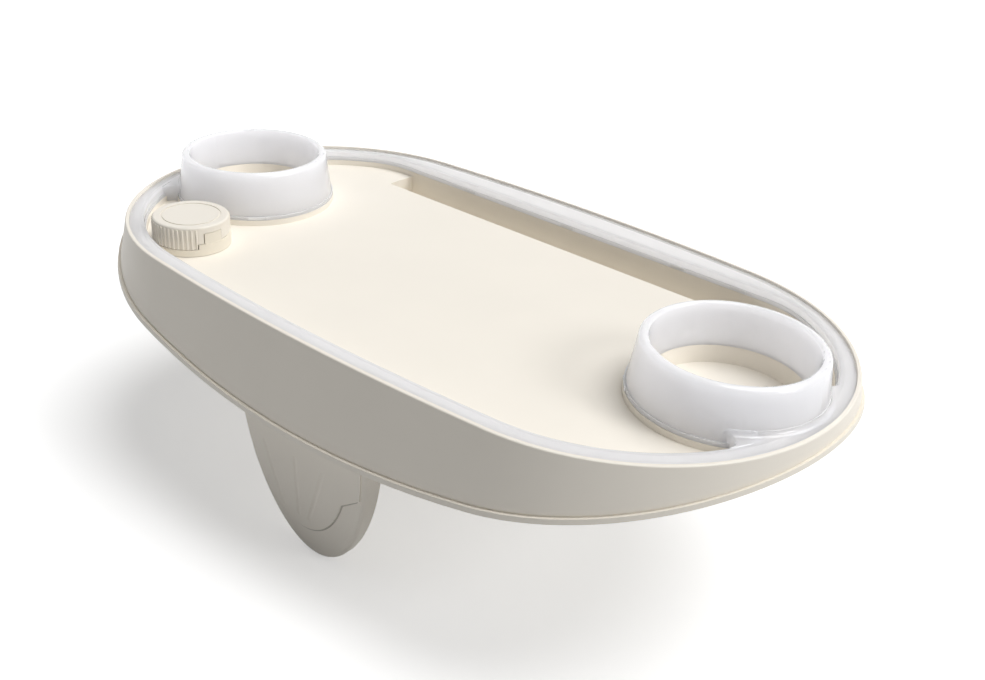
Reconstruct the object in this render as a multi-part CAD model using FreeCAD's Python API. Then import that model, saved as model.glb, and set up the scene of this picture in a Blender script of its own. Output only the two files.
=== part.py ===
# Hot tub tray: a blow-moulded, water-ballasted tray that straddles the tub's soft wall.
# A frosted rim moulding clips into its top and carries two cup collars. A slot holds a
# tablet, a screw cap with a tether closes the tank, and a tongue below the front apron
# hooks over the wall. Lengths are in millimetres. Every piece is drawn with z = 0 on the
# wall seat, x along the tray and -y at its front, about the middle of the top outline,
# and is moved at the end so that the origin is the middle of the wall seat.
import FreeCAD, Part
import math
import os

from FreeCAD import Vector

os.makedirs("parts", exist_ok=True)

# Tray outline: four tangent arcs, seen from above at the top edge
TRAY_LENGTH = 532.0
TRAY_WIDTH = 288.0
END_TUCK = 5.5
RIM_HEIGHT = 32.0
WALL = 3.0
WALL_FLARE = 0.2

# Arched bottom edge, deep in the middle and shallow at both ends
APRON_DEPTH = 58.0
END_DEPTH = 13.0
BEAD_HEIGHT = 3.0
BEAD_PROUD = 1.6
GROOVE_DEPTH = 0.6

# Steps of the top: outer lip, ledge under the rim moulding, deck
LIP_WIDTH = 2.3
LIP_ROUND = 1.0
FRAME_WIDTH = 13.6
LEDGE_DEPTH = 7.5
DECK_DEPTH = 11.5
BACK_BAND = 28.2
BACK_CORNER = 60.0

# Cup collars and the wells below them
CUP_RADIUS = 46.8
COLLAR_RIM = 5.2
COLLAR_SPREAD = 4.3
COLLAR_MARGIN = 6.1
COLLAR_BACK_SHIFT = 4.0
COLLAR_HEIGHT = 25.0
CUP_TAPER = 2.4
CUP_RING_DEPTH = 1.5
CUP_RING_WIDTH = 4.0
CUP_FLOOR_DEPTH = 12.5
WELL_DRAFT = 1.0
NOTCH_RADIUS = 2.5
RIM_OUTER_ROUND = 3.2
RIM_INNER_ROUND = 1.6
COLLAR_FILLET = 3.0

# Rim moulding
SKIN = 2.2
CROWN_DROP = 1.6
CROWN_WIDTH = 7.0
CREST_ROUND = 1.3
FIT_GAP = 0.1
FOOT_SHELF = 0.4
FOOT_PROUD = 0.7
FOOT_HEIGHT = 2.6

# Tablet slot
SLOT_LENGTH = 312.6
SLOT_WIDTH = 24.4
SLOT_DEPTH = 22.5
SLOT_ROUND = 2.0

# Saddle channel below, which the tub's wall fills
FRONT_LEG = 21.0
SLOT_SHELL = 11.4
CHANNEL_ROUND = 6.0

# Tongue below the front apron
TONGUE_HALF_WIDTH = 56.0
TONGUE_DROP = 104.5
TONGUE_ROOT = 17.5
TONGUE_TIP = 8.0
TONGUE_ROUND = 2.5
TONGUE_LAP = 6.0
HOLLOW_SHARE = 0.6
PANEL_RELIEF = 0.8
PANEL_SHIFT = 8.0
PANEL_HALF_WIDTH = 49.0
PANEL_DROP = 85.5
PANEL_SIDE_DROP = 59.0
PANEL_SIDE_ANGLE = 36.0
FLUTE_RADIUS = 4.0
FLUTE_DEPTH = 0.45
FLUTE_TOP = 32.0
FLUTE_FOOT = 76.0
FLUTES = ((-35.5, -23.5), (-7.0, -9.0), (18.0, 0.5))

# Filler neck, screw cap, gasket and tether
FILLER_GAP = 10.1
FILLER_EDGE_GAP = 1.7
THREAD_ROOM = 2.2
NECK_WALL = 4.0
TURN_GAP = 0.3
TETHER_HEIGHT = 4.6
RAMP_HEIGHT = 3.4
RAMP_SPAN = 80.0
RAMP_ANGLE = 14.0
HEAD_HEIGHT = 7.2
HEAD_SPAN = 29.0
HEAD_ANGLE = -2.0
SLIT = 0.6
CAP_RADIUS = 26.0
CAP_HEIGHT = 20.5
CAP_TOP = 3.0
CAP_SKIRT = 3.1
CAP_EDGE_ROUND = 1.4
RIB_COUNT = 52
RIB_DEPTH = 0.7
RIB_WIDTH = 2.1
RIB_TOP = 0.7
RIB_DROP = 1.6
SMOOTH_SPAN = 90.0
SMOOTH_ANGLE = 16.0
DISC_RADIUS = 18.8
DISC_GROOVE = 1.1
DISC_DEPTH = 0.5
GASKET_HEIGHT = 2.0

# Levels and places that follow from the sizes above
HALF_LENGTH = TRAY_LENGTH / 2
HALF_WIDTH = TRAY_WIDTH / 2
END_RADIUS = HALF_WIDTH - END_TUCK
END_X = HALF_LENGTH - END_RADIUS
SIDE_RADIUS = (END_X**2 + HALF_WIDTH**2 - END_RADIUS**2) / (2 * END_TUCK)
LEDGE_Z = RIM_HEIGHT - LEDGE_DEPTH
DECK_Z = RIM_HEIGHT - DECK_DEPTH
APRON_Z = RIM_HEIGHT - APRON_DEPTH
ARCH_SAG = APRON_DEPTH - END_DEPTH
ARCH_RADIUS = (HALF_LENGTH**2 + ARCH_SAG**2) / (2 * ARCH_SAG)
BACK_LINE = HALF_WIDTH - BACK_BAND
COLLAR_TOP_RADIUS = CUP_RADIUS + COLLAR_RIM
COLLAR_BASE_RADIUS = COLLAR_TOP_RADIUS + COLLAR_SPREAD
BAND_GROW = FOOT_SHELF + FOOT_PROUD
PLINTH_RADIUS = COLLAR_BASE_RADIUS + BAND_GROW
COLLAR_X = HALF_LENGTH - COLLAR_MARGIN - PLINTH_RADIUS
COLLAR_Y = -COLLAR_BACK_SHIFT
CUP_RING_Z = RIM_HEIGHT - CUP_RING_DEPTH
CUP_FLOOR_Z = RIM_HEIGHT - CUP_FLOOR_DEPTH
CUP_FOOT_RADIUS = CUP_RADIUS - CUP_TAPER
SLOT_FRONT = BACK_LINE - SLOT_WIDTH
SLOT_FLOOR_Z = DECK_Z - SLOT_DEPTH
CHANNEL_BACK = SLOT_FRONT - SLOT_SHELL
CHANNEL_FRONT = FRONT_LEG - HALF_WIDTH
SEAT_Y = (CHANNEL_BACK + CHANNEL_FRONT) / 2
TONGUE_TIP_Z = APRON_Z - TONGUE_DROP
TONGUE_SLOPE = (TONGUE_ROOT - TONGUE_TIP) / TONGUE_DROP
COLLAR_TOP_Z = RIM_HEIGHT + COLLAR_HEIGHT
COLLAR_SLOPE = (COLLAR_BASE_RADIUS - COLLAR_TOP_RADIUS) / (COLLAR_TOP_Z - LEDGE_Z)
COLLAR_CREST_RADIUS = COLLAR_BASE_RADIUS - COLLAR_SLOPE * LEDGE_DEPTH
CUP_SLOPE = CUP_TAPER / (COLLAR_TOP_Z - CUP_RING_Z)
CUP_RING_RADIUS = CUP_FOOT_RADIUS + CUP_RING_WIDTH
CAP_TOP_Z = DECK_Z + CAP_HEIGHT
TETHER_Z = DECK_Z + TURN_GAP
SKIRT_Z = TETHER_Z + TETHER_HEIGHT + TURN_GAP
SKIRT_RADIUS = CAP_RADIUS - RIB_DEPTH
SKIRT_BORE = SKIRT_RADIUS - CAP_SKIRT
NECK_RADIUS = SKIRT_BORE - THREAD_ROOM
TETHER_RADIUS = CAP_RADIUS
NECK_Z = CAP_TOP_Z - CAP_TOP - GASKET_HEIGHT - TURN_GAP
FAR = 2 * TRAY_LENGTH
OVER = 1.0
UP = Vector(0, 0, 1)


def filler_place():
    """Filler's axis, a stated gap away from the left collar and from the rim moulding."""
    end_x = END_RADIUS - HALF_LENGTH
    from_end = END_RADIUS - FRAME_WIDTH - TETHER_RADIUS - FILLER_EDGE_GAP
    from_collar = PLINTH_RADIUS + TETHER_RADIUS + FILLER_GAP
    line = Vector(-COLLAR_X - end_x, COLLAR_Y, 0)
    along = (from_end**2 - from_collar**2 + line.Length**2) / (2 * line.Length)
    across = math.sqrt(from_end**2 - along**2)
    unit = line.normalize()
    return Vector(end_x, 0, 0) + unit * along + Vector(-unit.y, unit.x, 0) * across


FILLER_X = filler_place().x
FILLER_Y = filler_place().y


def oval(inset, z):
    """Closed wire of the tray's outline, moved in by inset, at height z."""
    a = HALF_LENGTH - inset
    b = HALF_WIDTH - inset
    end = END_RADIUS - inset
    side = ((a - end)**2 + b**2 - end**2) / (2 * (b - end))
    reach = side - end
    tangent = Vector((a - end) + end * (a - end) / reach, end * (side - b) / reach, z)
    signs = ((1, -1), (1, 1), (-1, 1), (-1, -1))
    corners = [Vector(sx * tangent.x, sy * tangent.y, z) for sx, sy in signs]
    middles = [Vector(a, 0, z), Vector(0, b, z), Vector(-a, 0, z), Vector(0, -b, z)]
    arcs = [Part.Arc(corners[i], middles[i], corners[(i + 1) % 4]).toShape() for i in range(4)]
    return Part.Wire(arcs)


def oval_block(inset, low, high, inset_high=None):
    """Solid between two heights inside the outline, drafted when the insets differ."""
    top = inset if inset_high is None else inset_high
    return Part.makeLoft([oval(inset, low), oval(top, high)], True, True)


def disc(x, y, radius, low, high):
    return Part.makeCylinder(radius, high - low, Vector(x, y, low), UP)


def cone(x, y, radius_low, radius_high, low, high):
    return Part.makeCone(radius_low, radius_high, high - low, Vector(x, y, low), UP)


def box(x_low, x_high, y_low, y_high, z_low, z_high):
    return Part.makeBox(x_high - x_low, y_high - y_low, z_high - z_low, Vector(x_low, y_low, z_low))


def arch(rise):
    """Wide cylinder along y whose lowest line lies at the bottom edge plus rise."""
    centre_z = APRON_Z + ARCH_RADIUS
    return Part.makeCylinder(ARCH_RADIUS - rise, 2 * FAR, Vector(0, -FAR, centre_z), Vector(0, 1, 0))


def edges_where(shape, test):
    return [e for e in shape.Edges if test(e)]


def upright(edge):
    ends = [v.Point for v in edge.Vertexes]
    return len(ends) == 2 and math.hypot(ends[0].x - ends[1].x, ends[0].y - ends[1].y) < 1e-4


def flat_at(edge, z):
    return all(abs(v.Z - z) < 1e-4 for v in edge.Vertexes) and abs(edge.BoundBox.ZLength) < 1e-3


def met(first, first_radius, second, second_radius, side):
    """Point at two given distances from two centres, on the left of the line between them or the right."""
    line = second - first
    along = (first_radius**2 - second_radius**2 + line.Length**2) / (2 * line.Length)
    across = math.sqrt(first_radius**2 - along**2)
    unit = Vector(line).normalize()
    return first + unit * along + Vector(-unit.y, unit.x, 0) * side * across


def touch(first, second, z):
    """Where two tangent arcs meet; an arc is its centre and its radius, negative when hollow."""
    (centre, radius), (other, other_radius) = first, second
    line = (other - centre).normalize()
    sign = 1 if radius * other_radius < 0 or abs(radius) > abs(other_radius) else -1
    return Vector(centre.x, centre.y, z) + line * abs(radius) * sign


def arc_between(arc, start, end, z):
    """Arc from start to end: the short way round its centre, or the long way when it is hollow."""
    centre = Vector(arc[0].x, arc[0].y, z)
    middle = (start + end) * 0.5 - centre
    return Part.Arc(start, centre + middle.normalize() * arc[1], end).toShape()


def deck_opening(grow, low, high, collar_radius=PLINTH_RADIUS):
    """What the rim moulding leaves open over the deck, as one profile of tangent arcs grown by grow."""
    end = Vector(HALF_LENGTH - END_RADIUS, 0, 0)
    end_radius = END_RADIUS - FRAME_WIDTH
    side_radius = SIDE_RADIUS - FRAME_WIDTH
    collar = Vector(COLLAR_X, COLLAR_Y, 0)
    tips = [met(collar, collar_radius + NOTCH_RADIUS, end, end_radius - NOTCH_RADIUS, side) for side in (1, -1)]
    corner_y = BACK_LINE - BACK_CORNER
    corner_x = end.x + math.sqrt((end_radius - BACK_CORNER)**2 - corner_y**2)
    corner = Vector(corner_x, corner_y, 0)
    arcs = [(Vector(0, SIDE_RADIUS - HALF_WIDTH, 0), side_radius + grow),
            (end, end_radius + grow),
            (tips[0], NOTCH_RADIUS + grow),
            (collar, grow - collar_radius),
            (tips[1], NOTCH_RADIUS + grow),
            (end, end_radius + grow),
            (corner, BACK_CORNER + grow)]
    points = [touch(arcs[i], arcs[i + 1], low) for i in range(len(arcs) - 1)]
    line_y = BACK_LINE + grow
    points.append(Vector(corner_x, line_y, low))
    right = [arc_between(arcs[i + 1], points[i], points[i + 1], low) for i in range(len(points) - 1)]
    left = [edge.mirror(Vector(0, 0, 0), Vector(1, 0, 0)) for edge in right]
    front = Vector(0, -HALF_WIDTH + FRAME_WIDTH - grow, low)
    first_left = Vector(-points[0].x, points[0].y, low)
    bow = Part.Arc(first_left, front, points[0]).toShape()
    back = Part.makeLine(points[-1], Vector(-corner_x, line_y, low))
    outline = Part.Wire(Part.__sortEdges__([bow] + right + [back] + left))
    return Part.Face(outline).extrude(Vector(0, 0, high - low))


def tongue_front(z):
    """Where the tongue's sloping front face lies at height z."""
    return CHANNEL_FRONT - TONGUE_TIP - TONGUE_SLOPE * (z - TONGUE_TIP_Z)


def wedge(front_inset, back_inset, low, high):
    """Tongue's side view as a bar along x, thick at the root and thin at the tip."""
    back = CHANNEL_FRONT - back_inset
    ends = [Vector(-FAR, back, low), Vector(-FAR, tongue_front(low) + front_inset, low),
            Vector(-FAR, tongue_front(high) + front_inset, high), Vector(-FAR, back, high)]
    return Part.Face(Part.makePolygon(ends + ends[:1])).extrude(Vector(2 * FAR, 0, 0))


def half_ellipse_bar(middle, half, drop, root_z):
    """Bar along y whose section is half an ellipse below the apron under a straight root."""
    centre = Vector(middle, -FAR, APRON_Z)
    side = Vector(half, 0, 0)
    ellipse = Part.Ellipse(centre - Vector(0, 0, drop), centre + side, centre)
    tip = Part.ArcOfEllipse(ellipse, -math.pi / 2, math.pi / 2).toShape()
    root = Vector(0, 0, root_z - APRON_Z)
    corners = [centre + side, centre + side + root, centre - side + root, centre - side]
    outline = Part.Wire(Part.__sortEdges__([tip] + Part.makePolygon(corners).Edges))
    return Part.Face(outline).extrude(Vector(0, FAR, 0))


def tongue_panel():
    """Raised field on the tongue's front: a lobe and a side field with a slanting edge."""
    lobe = half_ellipse_bar(-PANEL_SHIFT, PANEL_HALF_WIDTH, PANEL_DROP, APRON_Z + TONGUE_LAP)
    side = box(0, FAR, -FAR, 0, 0, FAR)
    side.rotate(Vector(0, 0, 0), Vector(0, 1, 0), -PANEL_SIDE_ANGLE)
    side = side.common(box(0, FAR, -FAR, 0, -FAR, FAR))
    side.translate(Vector(PANEL_HALF_WIDTH / 2 - PANEL_SHIFT, 0, APRON_Z - PANEL_SIDE_DROP))
    return lobe.fuse(side)


def flutes():
    """Shallow round grooves that run down the panel towards the tip."""
    cuts = []
    for x_top, x_foot in FLUTES:
        ends = []
        for x, drop in ((x_top, FLUTE_TOP), (x_foot, FLUTE_FOOT)):
            z = APRON_Z - drop
            ends.append(Vector(x, tongue_front(z) - FLUTE_RADIUS + FLUTE_DEPTH, z))
        run = ends[1] - ends[0]
        bar = Part.makeCylinder(FLUTE_RADIUS, run.Length, ends[0], run)
        cuts.append(bar.fuse([Part.makeSphere(FLUTE_RADIUS, end) for end in ends]).removeSplitter())
    return cuts


def tongue():
    low = TONGUE_TIP_Z - OVER
    root_z = APRON_Z + TONGUE_LAP
    outline = half_ellipse_bar(0, TONGUE_HALF_WIDTH, TONGUE_DROP, root_z)
    shape = outline.common(wedge(PANEL_RELIEF, 0, low, root_z))
    rim = edges_where(shape, lambda e: e.BoundBox.YLength < TONGUE_ROOT / 2 and e.BoundBox.ZLength > WALL)
    shape = shape.makeFillet(TONGUE_ROUND, rim)
    edge = TONGUE_ROUND + PANEL_RELIEF
    inner = half_ellipse_bar(0, TONGUE_HALF_WIDTH - edge, TONGUE_DROP - edge, root_z)
    panel = inner.common(wedge(0, WALL, low, root_z)).common(tongue_panel())
    shape = shape.fuse(panel)
    for groove in flutes():
        shape = shape.cut(groove)
    return shape.removeSplitter()


def tongue_hollow():
    root_z = APRON_Z + TONGUE_LAP + WALL
    inset = TONGUE_LAP
    outline = half_ellipse_bar(0, TONGUE_HALF_WIDTH - inset, TONGUE_DROP - inset, root_z)
    return outline.common(wedge(WALL + PANEL_RELIEF, WALL, APRON_Z - HOLLOW_SHARE * TONGUE_DROP, root_z))


def channel(grow):
    """Room for the tub's wall, open at both ends and below."""
    shape = box(-FAR, FAR, CHANNEL_FRONT - grow, CHANNEL_BACK + grow, -FAR, grow)
    tops = edges_where(shape, lambda e: flat_at(e, grow) and e.Length > FAR)
    return shape.makeFillet(CHANNEL_ROUND + grow, tops)


def slot_room(grow):
    half = SLOT_LENGTH / 2 + grow
    shape = box(-half, half, SLOT_FRONT - grow, BACK_LINE + grow, SLOT_FLOOR_Z - grow, DECK_Z + OVER)
    return shape.makeFillet(SLOT_ROUND, edges_where(shape, upright))


def tank():
    """Water space inside the body, one wall away from every outer face."""
    top_z = LEDGE_Z - WALL
    drop = top_z - APRON_Z
    flare_top = WALL_FLARE * (RIM_HEIGHT - top_z)
    space = oval_block(WALL - flare_top - WALL_FLARE * drop, APRON_Z, top_z, WALL - flare_top)
    space = space.common(arch(WALL))
    space = space.cut(deck_opening(WALL, DECK_Z - WALL, RIM_HEIGHT))
    for side in (-1, 1):
        around = CUP_FOOT_RADIUS + WALL
        space = space.cut(disc(side * COLLAR_X, COLLAR_Y, around, CUP_FLOOR_Z - WALL, RIM_HEIGHT))
    space = space.cut(channel(WALL))
    space = space.cut(slot_room(WALL))
    return space.fuse(tongue_hollow())


def body_blank():
    """Flared wall cut off along the arch, with the bead round its bottom edge."""
    low = APRON_Z - WALL
    flare = WALL_FLARE * (RIM_HEIGHT - low)
    blank = oval_block(-flare, low, RIM_HEIGHT, 0)
    rounded = blank.makeFillet(LIP_ROUND, edges_where(blank, lambda e: flat_at(e, RIM_HEIGHT)))
    blank = rounded.common(arch(0))
    bead = oval_block(-flare - BEAD_PROUD, low, RIM_HEIGHT, -BEAD_PROUD)
    bead = bead.common(arch(0)).cut(arch(BEAD_HEIGHT))
    groove = oval_block(-flare - BEAD_PROUD, low, RIM_HEIGHT, -BEAD_PROUD)
    groove = groove.cut(oval_block(GROOVE_DEPTH - flare, low, RIM_HEIGHT, GROOVE_DEPTH))
    groove = groove.common(arch(BEAD_HEIGHT)).cut(arch(BEAD_HEIGHT + 2 * GROOVE_DEPTH))
    return blank.cut(groove).fuse(bead)


def tray_body():
    body = body_blank()
    body = body.cut(oval_block(LIP_WIDTH, LEDGE_Z, RIM_HEIGHT + OVER))
    body = body.cut(deck_opening(0, DECK_Z, RIM_HEIGHT + OVER))
    for side in (-1, 1):
        body = body.fuse(disc(side * COLLAR_X, COLLAR_Y, CUP_RING_RADIUS, LEDGE_Z, CUP_RING_Z))
        floor_radius = CUP_FOOT_RADIUS - WELL_DRAFT
        well = cone(side * COLLAR_X, COLLAR_Y, floor_radius, CUP_FOOT_RADIUS, CUP_FLOOR_Z, CUP_RING_Z)
        body = body.cut(well)
    body = body.cut(slot_room(0))
    body = body.fuse(tongue())
    body = body.cut(channel(0))
    body = body.cut(tank())
    body = body.fuse(disc(FILLER_X, FILLER_Y, NECK_RADIUS, DECK_Z - WALL, NECK_Z))
    bore = disc(FILLER_X, FILLER_Y, NECK_RADIUS - NECK_WALL, DECK_Z - WALL - OVER, NECK_Z + OVER)
    return body.cut(bore).removeSplitter()


def collar_cone(side, grow, low, high):
    """Solid of a collar's outer wall, grown by grow, between two heights."""
    radii = [COLLAR_BASE_RADIUS - COLLAR_SLOPE * (z - LEDGE_Z) + grow for z in (low, high)]
    return cone(side * COLLAR_X, COLLAR_Y, radii[0], radii[1], low, high)


def cup_cone(side, grow, low, high):
    """Solid of a collar's cup side, grown by grow, between two heights."""
    radii = [CUP_FOOT_RADIUS + CUP_SLOPE * (z - CUP_RING_Z) + grow for z in (low, high)]
    return cone(side * COLLAR_X, COLLAR_Y, radii[0], radii[1], low, high)


def collar_blank(side):
    """Flared cup collar with its rounded top rim, still solid between its two walls."""
    blank = collar_cone(side, 0, LEDGE_Z, COLLAR_TOP_Z)
    top = edges_where(blank, lambda e: flat_at(e, COLLAR_TOP_Z))
    blank = blank.makeFillet(RIM_OUTER_ROUND, top)
    blank = blank.cut(cup_cone(side, 0, LEDGE_Z - OVER, COLLAR_TOP_Z + OVER))
    circles = edges_where(blank, lambda e: flat_at(e, COLLAR_TOP_Z))
    mouth = min(circles, key=lambda e: e.Curve.Radius)
    return blank.makeFillet(RIM_INNER_ROUND, [mouth])


def collar_fillet(side):
    """Concave ring that blends a collar's wall into the band's flat top."""
    radius = COLLAR_CREST_RADIUS - COLLAR_FILLET * COLLAR_SLOPE
    reach = COLLAR_FILLET + COLLAR_FILLET * COLLAR_SLOPE
    centre = Vector(side * COLLAR_X, COLLAR_Y, RIM_HEIGHT + COLLAR_FILLET)
    ring = disc(side * COLLAR_X, COLLAR_Y, radius + reach, RIM_HEIGHT, centre.z)
    ring = ring.cut(Part.makeTorus(radius + reach, COLLAR_FILLET, centre, UP))
    return ring.cut(disc(side * COLLAR_X, COLLAR_Y, radius - OVER, RIM_HEIGHT - OVER, centre.z + OVER))


def band_opening(more, low, high):
    """Opening inside the band's upright wall, grown by more, with the collars' crest circle."""
    return deck_opening(BAND_GROW + more, low, high, COLLAR_CREST_RADIUS + BAND_GROW)


def rim_blank():
    """Crowned band with its foot and the right collar, before it is hollowed out."""
    outer = LIP_WIDTH + FIT_GAP
    shoulder_z = RIM_HEIGHT - CROWN_DROP
    foot_z = LEDGE_Z + FOOT_HEIGHT
    band = oval_block(outer, LEDGE_Z, shoulder_z)
    band = band.fuse(oval_block(outer, shoulder_z, RIM_HEIGHT, outer + CROWN_WIDTH))
    band = band.cut(band_opening(0, foot_z, COLLAR_TOP_Z))
    band = band.cut(deck_opening(FOOT_SHELF, LEDGE_Z - OVER, foot_z)).removeSplitter()
    near = band_opening(0.01, foot_z, COLLAR_TOP_Z)
    crest = edges_where(band, lambda e: flat_at(e, RIM_HEIGHT) and near.isInside(e.CenterOfMass, 1e-3, True))
    band = band.makeFillet(CREST_ROUND, crest)
    band = band.fuse(collar_fillet(1).cut(band_opening(CREST_ROUND, LEDGE_Z, COLLAR_TOP_Z)))
    return band.fuse(collar_blank(1))


def rim_hollow():
    """Space under the band and between the right collar's two walls, open below."""
    outer = LIP_WIDTH + FIT_GAP
    hollow = oval_block(outer + SKIN, LEDGE_Z - OVER, RIM_HEIGHT - CROWN_DROP - SKIN)
    hollow = hollow.cut(band_opening(SKIN, LEDGE_Z - 2 * OVER, RIM_HEIGHT))
    hollow = hollow.fuse(collar_cone(1, -SKIN, LEDGE_Z - OVER, COLLAR_TOP_Z - SKIN))
    return hollow.cut(cup_cone(1, SKIN, LEDGE_Z - 2 * OVER, COLLAR_TOP_Z))


def rim_frame():
    """Frosted moulding: crowned band and two double-walled collars, open below."""
    frame = rim_blank().cut(rim_hollow())
    frame = frame.cut(cup_cone(1, 0, LEDGE_Z - 2 * OVER, COLLAR_TOP_Z + OVER))
    frame = frame.cut(disc(COLLAR_X, COLLAR_Y, CUP_RING_RADIUS + FIT_GAP, LEDGE_Z - 2 * OVER, CUP_RING_Z))
    right = frame.common(box(0, FAR, -FAR, FAR, -FAR, FAR))
    return right.fuse(right.mirror(Vector(0, 0, 0), Vector(1, 0, 0))).removeSplitter()


def sector(radius_in, radius_out, low, high, middle, span):
    """Part of a ring about the filler's axis, span degrees wide about its middle angle."""
    ends = ((radius_in, low), (radius_out, low), (radius_out, high), (radius_in, high))
    corners = [Vector(r, 0, z) for r, z in ends]
    face = Part.Face(Part.makePolygon(corners + corners[:1]))
    shape = face.revolve(Vector(0, 0, 0), UP, span)
    shape.rotate(Vector(0, 0, 0), UP, middle - span / 2)
    shape.translate(Vector(FILLER_X, FILLER_Y, 0))
    return shape


def tube(radius_in, radius_out, low, high):
    return disc(FILLER_X, FILLER_Y, radius_out, low, high).cut(
        disc(FILLER_X, FILLER_Y, radius_in, low - OVER, high + OVER))


def slit_degrees():
    return math.degrees(2 * SLIT / CAP_RADIUS)


def cap_tether():
    """Retaining ring that turns on the neck, with the strap that rises into the cap."""
    ramp_z = TETHER_Z + TETHER_HEIGHT + RAMP_HEIGHT
    strap_in = SKIRT_BORE + TURN_GAP
    ring = tube(NECK_RADIUS + TURN_GAP, TETHER_RADIUS, TETHER_Z, TETHER_Z + TETHER_HEIGHT)
    ramp = sector(strap_in, TETHER_RADIUS, TETHER_Z, ramp_z, RAMP_ANGLE, RAMP_SPAN)
    head_out = CAP_RADIUS - RIB_DEPTH / 2
    head = sector(strap_in, head_out, TETHER_Z, ramp_z + HEAD_HEIGHT, HEAD_ANGLE, HEAD_SPAN)
    return ring.fuse(ramp).fuse(head).removeSplitter()


def cap_ribs():
    """Grip ribs on the skirt, left off on the smooth side by the strap."""
    ribs = []
    for index in range(RIB_COUNT):
        angle = SMOOTH_ANGLE + 360.0 * (index + 0.5) / RIB_COUNT
        turn = abs((angle - SMOOTH_ANGLE + 180) % 360 - 180)
        if turn < SMOOTH_SPAN / 2:
            continue
        root = SKIRT_RADIUS - RIB_DEPTH
        section = ((root, -RIB_WIDTH / 2), (CAP_RADIUS, -RIB_TOP / 2), (CAP_RADIUS, RIB_TOP / 2), (root, RIB_WIDTH / 2))
        corners = [Vector(x, y, SKIRT_Z) for x, y in section]
        face = Part.Face(Part.makePolygon(corners + corners[:1]))
        rib = face.extrude(Vector(0, 0, CAP_TOP_Z - RIB_DROP - SKIRT_Z))
        rib.rotate(Vector(0, 0, 0), UP, angle)
        rib.translate(Vector(FILLER_X, FILLER_Y, 0))
        ribs.append(rib)
    return ribs


def filler_cap():
    """Screw cap: ribbed skirt, ringed top, and the window that the strap's head sits in."""
    shell = disc(FILLER_X, FILLER_Y, SKIRT_RADIUS, SKIRT_Z, CAP_TOP_Z)
    shell = shell.makeFillet(CAP_EDGE_ROUND, edges_where(shell, lambda e: flat_at(e, CAP_TOP_Z)))
    shell = shell.cut(disc(FILLER_X, FILLER_Y, SKIRT_BORE, SKIRT_Z - OVER, CAP_TOP_Z - CAP_TOP))
    groove_out = DISC_RADIUS + DISC_GROOVE
    shell = shell.cut(tube(DISC_RADIUS, groove_out, CAP_TOP_Z - DISC_DEPTH, CAP_TOP_Z + OVER))
    shell = shell.fuse(cap_ribs())
    ramp_z = TETHER_Z + TETHER_HEIGHT + RAMP_HEIGHT + TURN_GAP
    head_z = ramp_z + HEAD_HEIGHT
    low = SKIRT_Z - OVER
    inside = SKIRT_BORE - OVER
    outside = CAP_RADIUS + OVER
    notch = sector(inside, outside, low, ramp_z, RAMP_ANGLE, RAMP_SPAN + slit_degrees())
    window = sector(inside, outside, low, head_z, HEAD_ANGLE, HEAD_SPAN + slit_degrees())
    return shell.cut(notch).cut(window).removeSplitter()


def cap_gasket():
    """Flat sealing ring under the cap's top, over the neck's rim."""
    top_z = CAP_TOP_Z - CAP_TOP
    return tube(NECK_RADIUS - NECK_WALL, SKIRT_BORE, top_z - GASKET_HEIGHT, top_z)


def save(name, shape):
    """Move a piece so that the wall seat's middle is the origin, then write it."""
    moved = shape.copy()
    moved.translate(Vector(0, -SEAT_Y, 0))
    moved.exportStep("parts/" + name + ".step")
    print(name, moved.isValid(), len(moved.Solids), round(moved.Volume))


save("tray_body", tray_body())
save("rim_frame", rim_frame())
save("filler_cap", filler_cap())
save("cap_tether", cap_tether())
save("cap_gasket", cap_gasket())
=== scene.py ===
# Looks of the hot tub tray: materials, light, camera and the small trim that the packed
# CAD solids don't carry. Lengths are in metres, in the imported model's frame, apart from
# the trim's, which are in millimetres of the same frame.
import math

import bmesh
import bpy
from mathutils import Matrix, Vector
from mathutils.bvhtree import BVHTree


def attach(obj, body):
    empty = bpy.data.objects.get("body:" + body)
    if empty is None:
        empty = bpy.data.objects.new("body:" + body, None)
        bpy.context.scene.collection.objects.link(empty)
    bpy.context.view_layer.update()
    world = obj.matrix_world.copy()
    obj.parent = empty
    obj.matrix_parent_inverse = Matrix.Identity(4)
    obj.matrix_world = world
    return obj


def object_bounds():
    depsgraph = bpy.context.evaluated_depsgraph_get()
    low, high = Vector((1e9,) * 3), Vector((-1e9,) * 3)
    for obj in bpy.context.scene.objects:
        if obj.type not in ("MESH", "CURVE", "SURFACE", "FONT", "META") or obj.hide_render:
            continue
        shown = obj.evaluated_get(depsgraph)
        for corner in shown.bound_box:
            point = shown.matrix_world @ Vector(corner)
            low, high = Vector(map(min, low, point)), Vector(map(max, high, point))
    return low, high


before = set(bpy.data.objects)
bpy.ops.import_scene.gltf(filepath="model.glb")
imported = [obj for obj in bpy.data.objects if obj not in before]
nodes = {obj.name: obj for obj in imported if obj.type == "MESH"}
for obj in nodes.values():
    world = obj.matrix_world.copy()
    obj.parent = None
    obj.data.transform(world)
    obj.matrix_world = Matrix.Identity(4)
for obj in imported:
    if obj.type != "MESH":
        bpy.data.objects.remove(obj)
cad_low, cad_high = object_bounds()
scene = bpy.context.scene

WHITE = (1.0, 1.0, 1.0, 1.0)


# Colour helpers
def linear(value):
    """One screen channel, 0 to 255, on the linear scale."""
    share = value / 255
    return share / 12.92 if share <= 0.04045 else ((share + 0.055) / 1.055) ** 2.4


def colour(red, green, blue):
    """Screen colour, 0 to 255, as a linear colour with alpha."""
    return (linear(red), linear(green), linear(blue), 1.0)


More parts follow.
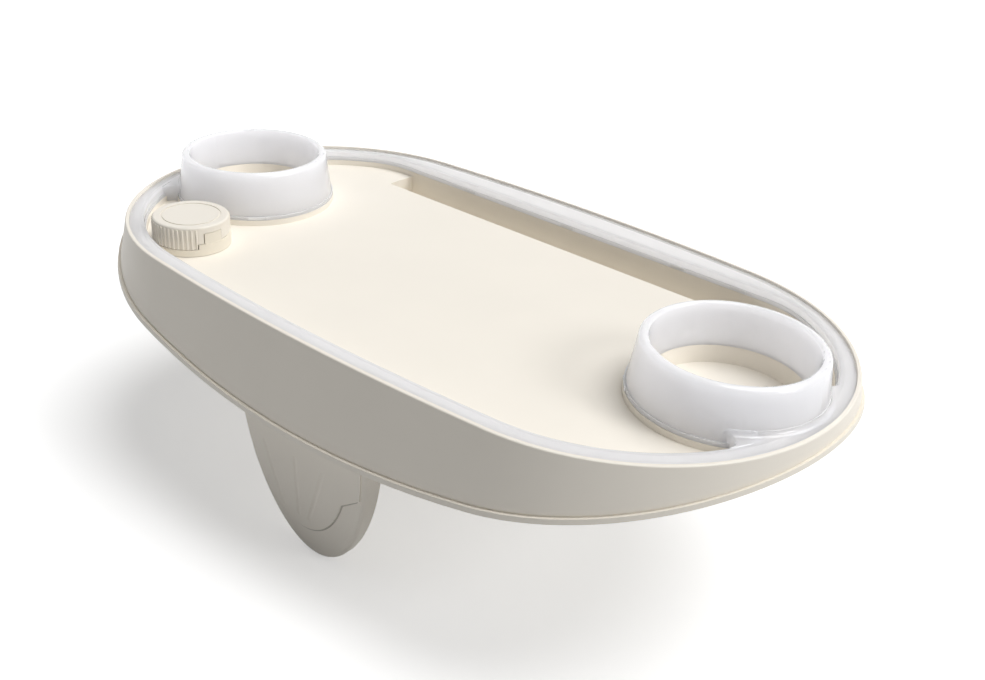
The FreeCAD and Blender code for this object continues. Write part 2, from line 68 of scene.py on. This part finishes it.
# Materials
NOISE_LOW = 0.3
NOISE_HIGH = 0.7
MOTTLE_SCALE = 14.0
GLOSS_SCALE = 32.0
GRAIN_ROUGH = 0.6
GRAIN_STRENGTH = 0.35
PLASTIC_IOR = 1.49
FROSTED_IOR = 1.5
GLOW_SHARE = 0.6
COAT_ROUGH = 0.13


class Graph:
    """A node tree, with short calls for the nodes that it is made of."""

    def __init__(self, tree):
        self.tree = tree
        tree.nodes.clear()

    def node(self, kind, **settings):
        made = self.tree.nodes.new(kind)
        for key, value in settings.items():
            setattr(made, key, value)
        return made

    def link(self, start, end):
        self.tree.links.new(start, end)

    def feed(self, value, socket):
        """Links an output to a socket, or writes a constant there."""
        if isinstance(value, bpy.types.NodeSocket):
            self.link(value, socket)
        else:
            socket.default_value = value

    def calc(self, operation, first, second):
        """Math node on two values."""
        made = self.node("ShaderNodeMath", operation=operation)
        self.feed(first, made.inputs[0])
        self.feed(second, made.inputs[1])
        return made.outputs[0]

    def blend(self, factor, first, second):
        """Mix of two shaders."""
        made = self.node("ShaderNodeMixShader")
        self.feed(factor, made.inputs["Fac"])
        self.link(first, made.inputs[1])
        self.link(second, made.inputs[2])
        return made.outputs["Shader"]


class Surface(Graph):
    """One node material round a Principled shader."""

    def __init__(self, name):
        self.material = bpy.data.materials.new(name)
        self.material.use_nodes = True
        super().__init__(self.material.node_tree)
        self.output = self.node("ShaderNodeOutputMaterial")
        self.shader = self.node("ShaderNodeBsdfPrincipled")
        self.link(self.shader.outputs["BSDF"], self.output.inputs["Surface"])
        self.place = self.node("ShaderNodeTexCoord").outputs["Object"]

    def set(self, **values):
        """Constants on the shader's own sockets."""
        for key, value in values.items():
            self.shader.inputs[key.replace("_", " ")].default_value = value

    def noise(self, scale, detail=2.0, rough=0.5):
        made = self.node("ShaderNodeTexNoise")
        made.inputs["Scale"].default_value = scale
        made.inputs["Detail"].default_value = detail
        made.inputs["Roughness"].default_value = rough
        self.link(self.place, made.inputs["Vector"])
        return made.outputs["Fac"]

    def spread(self, factor, low, high):
        """Maps the middle of a noise's range onto low to high."""
        made = self.node("ShaderNodeMapRange")
        made.inputs["From Min"].default_value = NOISE_LOW
        made.inputs["From Max"].default_value = NOISE_HIGH
        made.inputs["To Min"].default_value = low
        made.inputs["To Max"].default_value = high
        self.link(factor, made.inputs["Value"])
        return made.outputs["Result"]

    def mix(self, factor, first, second):
        """Mix of two colours."""
        made = self.node("ShaderNodeMix", data_type="RGBA")
        self.link(factor, made.inputs["Factor"])
        made.inputs["A"].default_value = first
        made.inputs["B"].default_value = second
        return made.outputs["Result"]

    def bump(self, height, strength, distance):
        made = self.node("ShaderNodeBump")
        made.inputs["Strength"].default_value = strength
        made.inputs["Distance"].default_value = distance
        self.link(height, made.inputs["Height"])
        self.link(made.outputs["Normal"], self.shader.inputs["Normal"])


def moulded(name, base, rough, grain=900.0, grain_depth=0.00004, tone=0.012, uneven=0.04):
    """Satin moulded plastic: faint mottling, uneven gloss and fine grain."""
    g = Surface(name)
    darker = tuple(c * (1 - tone) for c in base[:3]) + (1.0,)
    lighter = tuple(min(1.0, c * (1 + tone)) for c in base[:3]) + (1.0,)
    mottle = g.spread(g.noise(MOTTLE_SCALE, 3.0), 0.0, 1.0)
    g.link(g.mix(mottle, darker, lighter), g.shader.inputs["Base Color"])
    gloss = g.spread(g.noise(GLOSS_SCALE), rough - uneven, rough + uneven)
    g.link(gloss, g.shader.inputs["Roughness"])
    g.bump(g.noise(grain, rough=GRAIN_ROUGH), GRAIN_STRENGTH, grain_depth)
    return g


def dress(node, graph):
    data = nodes[node].data
    data.materials.clear()
    data.materials.append(graph.material)


def frosted_plastic():
    """Milky plastic that lets light through, under a gloss coat on its outer faces."""
    g = moulded("rim_frosted", colour(248, 248, 250), 0.25, 700.0, 0.00002, 0.004, 0.008)
    g.set(IOR=FROSTED_IOR, Subsurface_Weight=0.4, Subsurface_Scale=0.003)
    g.set(Subsurface_Radius=(1.0, 1.0, 1.0))
    glow = g.node("ShaderNodeBsdfTranslucent")
    glow.inputs["Color"].default_value = colour(251, 251, 252)
    milk = g.blend(GLOW_SHARE, g.shader.outputs["BSDF"], glow.outputs["BSDF"])
    gloss = g.node("ShaderNodeBsdfGlossy")
    gloss.inputs["Roughness"].default_value = COAT_ROUGH
    edge = g.node("ShaderNodeFresnel")
    edge.inputs["IOR"].default_value = FROSTED_IOR
    facing = g.node("ShaderNodeNewGeometry")
    outer = g.calc("SUBTRACT", 1.0, facing.outputs["Backfacing"])
    share = g.calc("MULTIPLY", edge.outputs["Fac"], outer)
    g.link(g.blend(share, milk, gloss.outputs["BSDF"]), g.output.inputs["Surface"])
    return g


beige = moulded("tray_beige", colour(243, 237, 226), 0.46)
beige.set(IOR=PLASTIC_IOR, Specular_IOR_Level=0.4)
dress("tray_body", beige)

frosted = frosted_plastic()
dress("rim_frame", frosted)

cap_plastic = moulded("cap_beige", colour(236, 230, 219), 0.4, 1500.0, 0.00003)
cap_plastic.set(IOR=PLASTIC_IOR)
dress("filler_cap", cap_plastic)

tether_plastic = moulded("tether_beige", colour(236, 229, 214), 0.42, 1500.0, 0.00003)
tether_plastic.set(IOR=PLASTIC_IOR)
dress("cap_tether", tether_plastic)

rubber = moulded("gasket_rubber", colour(70, 68, 64), 0.6, 1800.0, 0.00003)
dress("cap_gasket", rubber)


# Small trim: millimetres from here to the floor; piece() turns them into metres
MM = 0.001
SEAT = 21.5
RIM_Z = 32.0
FOOT_LOW = 24.5
FOOT_HIGH = 27.1
DECK_TOP = 20.5
BAND_Y = 116.2 + SEAT
COLLAR_X = 202.5
COLLAR_Y = -4.0 + SEAT
COLLAR_FOOT = 57.0
SIDES = ((1, "right"), (-1, "left"))


def piece(name, points, faces, graph, smooth=False):
    """One closed piece that rides on the tray."""
    data = bpy.data.meshes.new(name)
    data.from_pydata([(x * MM, y * MM, z * MM) for x, y, z in points], [], faces)
    outward = bmesh.new()
    outward.from_mesh(data)
    bmesh.ops.recalc_face_normals(outward, faces=outward.faces)
    outward.to_mesh(data)
    outward.free()
    data.update()
    if smooth:
        data.polygons.foreach_set("use_smooth", [True] * len(data.polygons))
    data.materials.append(graph.material)
    made = bpy.data.objects.new(name, data)
    scene.collection.objects.link(made)
    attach(made, "tray")


def tube_faces(rings, count):
    """Faces of a closed tube through rings of count points each."""
    faces = []
    for i in range(rings - 1):
        for j in range(count):
            k = (j + 1) % count
            faces.append((i * count + j, i * count + k,
                          (i + 1) * count + k, (i + 1) * count + j))
    faces.append(tuple(reversed(range(count))))
    faces.append(tuple(range((rings - 1) * count, rings * count)))
    return faces


# Snap windows seen through the frosted plastic, along the back band and on the collars,
# their recesses shown as grey pads of painted shade
BACK_SNAPS = (-94.4, 0.0, 94.4, 141.0)
COLLAR_SNAP_ANGLE = math.radians(-142.0)
COLLAR_STEPS = 6
MARK_HALF = 6.2
TICK_HALF = 0.6
TICK_PROUD = 0.5
TICK_SHIFT = 0.1
PAD_PROUD = 0.12
PAD_INSET = 0.3
STRIP_SUNK = 0.3
STRIP_CHAMFER = 0.12


def strip(name, path, low, high, proud, graph):
    """Chamfered strip along a path of (x, y, out x, out y), sunk in the wall behind it."""
    chamfer = min(proud * 0.5, STRIP_CHAMFER)
    section = [(-STRIP_SUNK, low), (proud - chamfer, low), (proud, low + chamfer),
               (proud, high - chamfer), (proud - chamfer, high), (-STRIP_SUNK, high)]
    points = [(x + ox * out, y + oy * out, z)
              for x, y, ox, oy in path for out, z in section]
    piece(name, points, tube_faces(len(path), len(section)), graph)


def band_path(centre):
    """Paths along the straight foot of the back band, facing the deck."""
    def path(shift, half):
        return [(centre + shift + half * way, BAND_Y, 0.0, -1.0) for way in (-1, 0, 1)]
    return path


def collar_path(side):
    """Paths along a collar's round foot, facing away from its axis."""
    def path(shift, half):
        points = []
        for i in range(COLLAR_STEPS + 1):
            way = shift + half * (2 * i / COLLAR_STEPS - 1)
            turn = COLLAR_SNAP_ANGLE + way / COLLAR_FOOT
            out_x, out_y = side * math.cos(turn), math.sin(turn)
            points.append((side * COLLAR_X + out_x * COLLAR_FOOT,
                           COLLAR_Y + out_y * COLLAR_FOOT, out_x, out_y))
        return points
    return path


def snap_mark(name, path):
    """A duller pad whose greyer colour paints the shade inside a snap window, with a
    bright tick at each end.
    """
    strip(name + "_pad", path(0.0, MARK_HALF),
          FOOT_LOW + PAD_INSET, FOOT_HIGH - PAD_INSET, PAD_PROUD, snap_window_shade)
    for tick, shift in (("_tick_a", -MARK_HALF), ("_tick_b", MARK_HALF)):
        strip(name + tick, path(shift, TICK_HALF),
              FOOT_LOW + TICK_SHIFT, FOOT_HIGH + TICK_SHIFT, TICK_PROUD, frosted)


# Greyer than the frosted plastic: painted shade of the snap window's recess
snap_window_shade = moulded("snap_window_shade", colour(234, 235, 237), 0.35, 900.0, 0.00002, 0.01, 0.01)
for number, centre in enumerate(BACK_SNAPS, 1):
    snap_mark("back_snap_%d" % number, band_path(centre))
for side, label in SIDES:
    snap_mark(label + "_collar_snap_1", collar_path(side))


# Web that closes the front notch between each collar and the band
NOTCH_START = 6.8
NOTCH_END = 2.0
NOTCH_STEPS = 18
NOTCH_ARC = 18
OPEN_END_X = 127.5
OPEN_END_R = 126.0
WALL_AT_RIM = 55.3
WEB_ROUND = 1.3
WEB_FILLET = 3.0
WEB_INTO_WALL = 0.8
WEB_INTO_BAND = 1.5
WEB_INTO_DECK = 0.3
WEB_BELOW_RIM = 0.02
FADE_START = 0.15
FADE_RATE = 2.0
COLLAR_AXIS = Vector((COLLAR_X, COLLAR_Y))
OPEN_END = Vector((OPEN_END_X, SEAT))


def notch_arc(radius):
    """Row of points round the notch's end, at one rounding radius, from collar to band."""
    near = WALL_AT_RIM + radius
    far = OPEN_END_R - radius
    line = OPEN_END - COLLAR_AXIS
    along = (near ** 2 - far ** 2 + line.length ** 2) / (2 * line.length)
    across = math.sqrt(near ** 2 - along ** 2)
    unit = line.normalized()
    centre = COLLAR_AXIS + unit * along + Vector((-unit.y, unit.x)) * across
    start = (COLLAR_AXIS - centre).normalized()
    end = (centre - OPEN_END).normalized()
    turn = start.angle_signed(end)
    points = []
    for j in range(NOTCH_ARC + 1):
        angle = -turn * j / NOTCH_ARC
        c, s = math.cos(angle), math.sin(angle)
        ray = Vector((start.x * c - start.y * s, start.x * s + start.y * c))
        points.append(centre + ray * radius)
    inner = (points[0] - COLLAR_AXIS).normalized() * (WALL_AT_RIM - WEB_INTO_WALL)
    outer = (points[-1] - OPEN_END).normalized() * (OPEN_END_R + WEB_INTO_BAND)
    return [COLLAR_AXIS + inner] + points + [OPEN_END + outer]


def round_over(radius, reach):
    """Drop of a quarter round at a distance from where it starts."""
    return radius - math.sqrt(radius ** 2 - reach ** 2)


def notch_web(side, label):
    rows = [notch_arc(NOTCH_START + (NOTCH_END - NOTCH_START) * (i / NOTCH_STEPS) ** 2)
            for i in range(NOTCH_STEPS + 1)]
    width = len(rows[0])
    points = []
    for i, row in enumerate(rows):
        for first, p in zip(rows[0], row):
            edge = max(0.0, WEB_ROUND - (p - first).length)
            wall = max(0.0, WALL_AT_RIM + WEB_FILLET - (p - COLLAR_AXIS).length)
            fade = min(1.0, FADE_START + FADE_RATE * i / NOTCH_STEPS)
            z = RIM_Z - WEB_BELOW_RIM - round_over(WEB_ROUND, edge)
            z += fade * round_over(WEB_FILLET, min(wall, WEB_FILLET))
            points.append((side * p.x, p.y, z))
    top = len(points)
    points += [(x, y, DECK_TOP - WEB_INTO_DECK) for x, y, z in points]
    faces = []
    for i in range(NOTCH_STEPS):
        for j in range(width - 1):
            a = i * width + j
            faces.append((a, a + 1, a + width + 1, a + width))
            faces.append((top + a, top + a + width, top + a + width + 1, top + a + 1))
    for j in range(width - 1):
        last = NOTCH_STEPS * width + j
        faces.append((j, top + j, top + j + 1, j + 1))
        faces.append((last, last + 1, top + last + 1, top + last))
    for i in range(NOTCH_STEPS):
        a = i * width
        b = a + width - 1
        faces.append((a, a + width, top + a + width, top + a))
        faces.append((b, top + b, top + b + width, b + width))
    piece(label + "_notch_web", points, faces, frosted, smooth=True)


for side, label in SIDES:
    notch_web(side, label)


# Painted shadow: a dark strip along the lower edge of the raised field on the tongue's
# front, where the field's step casts shade
APRON_FOOT = -26.0
PANEL_X = -8.0
PANEL_HALF = 49.0
PANEL_DEEP = 85.5
SIDE_X = 16.5
SIDE_DEEP = 59.0
SIDE_SLOPE = math.tan(math.radians(36.0))
LINE_START = -51.0
LINE_END = 47.5
LINE_STEPS = 60
LINE_HALF = 0.55
LINE_PROUD = 0.12
LINE_SUNK = 0.4
LINE_SECTION = ((1, -LINE_SUNK), (1, LINE_PROUD * 0.5), (0, LINE_PROUD),
                (-1, LINE_PROUD * 0.5), (-1, -LINE_SUNK))
TIP_SHARE = 0.35
TAPER_RATE = 4.0
VIEWER_Y = -400.0


def panel_foot(x):
    """Height of the raised field's lower edge under the front apron, at x."""
    across = min(1.0, abs(x - PANEL_X) / PANEL_HALF)
    lobe = -PANEL_DEEP * math.sqrt(1.0 - across ** 2)
    side = -SIDE_DEEP + (x - SIDE_X) * SIDE_SLOPE if x >= SIDE_X else 0.0
    return APRON_FOOT + min(lobe, side)


def on_tongue(tree, x, z):
    """Point and normal on the tongue's front for a place in the front view."""
    viewer = Vector((x, VIEWER_Y, z)) * MM
    place, normal, _, _ = tree.ray_cast(viewer, Vector((0.0, 1.0, 0.0)))
    return place / MM, normal


def lay_painted_shadow(name, graph):
    """Painted shadow under the raised field: a fine dark strip laid on the tongue, thin at
    both ends.
    """
    tree = BVHTree.FromObject(nodes["tray_body"], bpy.context.evaluated_depsgraph_get())
    track = []
    for i in range(LINE_STEPS + 1):
        way = 0.5 * (1 - math.cos(math.pi * i / LINE_STEPS))
        x = LINE_START + (LINE_END - LINE_START) * way
        track.append(Vector((x, panel_foot(x) - LINE_HALF)))
    points = []
    for i, spot in enumerate(track):
        run = (track[min(i + 1, LINE_STEPS)] - track[max(i - 1, 0)]).normalized()
        inward = min(1.0, TAPER_RATE * min(i, LINE_STEPS - i) / LINE_STEPS)
        half = LINE_HALF * (TIP_SHARE + (1 - TIP_SHARE) * inward)
        for share, out in LINE_SECTION:
            at = spot + Vector((-run.y, run.x)) * half * share
            place, normal = on_tongue(tree, at.x, at.y)
            points.append(tuple(place + normal * out))
    piece(name, points, tube_faces(len(track), len(LINE_SECTION)), graph)


# Darker beige that paints the shade under the raised field's edge
shade_line = moulded("painted_shadow_beige", colour(186, 180, 169), 0.5, 900.0, 0.00003)
lay_painted_shadow("tongue_painted_shadow_line", shade_line)


# Floor, world and lamps
FLOOR_Z = cad_low.z - 0.0005
FLOOR_HALF = 6.0
FLOOR_GREY = (0.6, 0.6, 0.6, 1.0)
FLOOR_WHITE = (0.9, 0.9, 0.9, 1.0)
FLOOR_LIFT = 0.4
WORLD_LIGHT = 0.1
LAMP_DISTANCE = 2.0
# Name, direction from the part to the lamp, width in degrees, strength
LAMPS = (("key", (1.0, 0.25, 0.62), 20.0, 0.3),
         ("top", (0.26, 0.3, 1.0), 46.0, 0.74),
         ("fill", (-1.0, -0.35, 0.35), 60.0, 0.13))


def camera_like(graph):
    """1 for rays that show the background: camera, glossy and transmitted ones."""
    path = graph.node("ShaderNodeLightPath").outputs
    seen = graph.calc("MAXIMUM", path["Is Camera Ray"], path["Is Glossy Ray"])
    return graph.calc("MAXIMUM", seen, path["Is Transmission Ray"])


def background(graph, strength):
    made = graph.node("ShaderNodeBackground")
    made.inputs["Color"].default_value = WHITE
    made.inputs["Strength"].default_value = strength
    return made.outputs["Background"]


def make_world():
    """Dim white world that is full white where it is seen."""
    world = bpy.data.worlds.new("studio")
    scene.world = world
    world.use_nodes = True
    g = Graph(world.node_tree)
    output = g.node("ShaderNodeOutputWorld")
    both = g.blend(camera_like(g), background(g, WORLD_LIGHT), background(g, 1.0))
    g.link(both, output.inputs["Surface"])


def make_floor():
    """Pale floor that the camera sees as white, apart from the part's own shadow."""
    data = bpy.data.meshes.new("floor")
    corners = [(x * FLOOR_HALF, y * FLOOR_HALF, FLOOR_Z)
               for x, y in ((-1, -1), (1, -1), (1, 1), (-1, 1))]
    data.from_pydata(corners, [], [(0, 1, 2, 3)])
    floor = bpy.data.objects.new("floor", data)
    scene.collection.objects.link(floor)
    g = Surface("floor_white")
    g.set(Roughness=0.9, Specular_IOR_Level=0.1, Emission_Color=WHITE)
    seen = camera_like(g)
    g.link(g.mix(seen, FLOOR_GREY, FLOOR_WHITE), g.shader.inputs["Base Color"])
    g.link(g.calc("MULTIPLY", seen, FLOOR_LIFT), g.shader.inputs["Emission Strength"])
    data.materials.append(g.material)


def soft_sun(name, towards, width, strength):
    """Distant soft light; towards points from the part to the lamp."""
    data = bpy.data.lights.new(name, "SUN")
    data.angle = math.radians(width)
    data.energy = strength * math.pi
    lamp = bpy.data.objects.new(name, data)
    lamp.location = Vector(towards).normalized() * LAMP_DISTANCE
    lamp.rotation_euler = Vector(towards).to_track_quat("Z", "Y").to_euler()
    scene.collection.objects.link(lamp)


make_world()
make_floor()
for lamp_row in LAMPS:
    soft_sun(*lamp_row)


CAMERA_AZIMUTH = 38.77
CAMERA_ELEVATION = 28.32
CAMERA_ROLL = 3.79
CAMERA_DISTANCE = 0.73916
CAMERA_SIDE = 0.02096
CAMERA_RISE = -0.04918
CAMERA_LENS = 41.383
CAMERA_SENSOR = 36.0
CAMERA_NEAR = 0.01
RIM_CENTRE = Vector((0.0, SEAT, RIM_Z)) * MM


def make_camera():
    a = math.radians(CAMERA_AZIMUTH)
    e = math.radians(CAMERA_ELEVATION)
    r = math.radians(CAMERA_ROLL)
    back = Vector((math.sin(a) * math.cos(e), -math.cos(a) * math.cos(e), math.sin(e)))
    level = Vector((math.cos(a), math.sin(a), 0.0))
    rise = back.cross(level)
    right = level * math.cos(r) + rise * math.sin(r)
    up = rise * math.cos(r) - level * math.sin(r)
    data = bpy.data.cameras.new("camera")
    data.lens = CAMERA_LENS
    data.sensor_width = CAMERA_SENSOR
    data.clip_start = CAMERA_NEAR
    camera = bpy.data.objects.new("camera", data)
    place = RIM_CENTRE + back * CAMERA_DISTANCE + right * CAMERA_SIDE + up * CAMERA_RISE
    turn = Matrix((right, up, back)).transposed().to_4x4()
    camera.matrix_world = Matrix.Translation(place) @ turn
    scene.collection.objects.link(camera)
    bpy.context.scene.camera = camera


make_camera()
bpy.context.scene.view_settings.view_transform = "Standard"
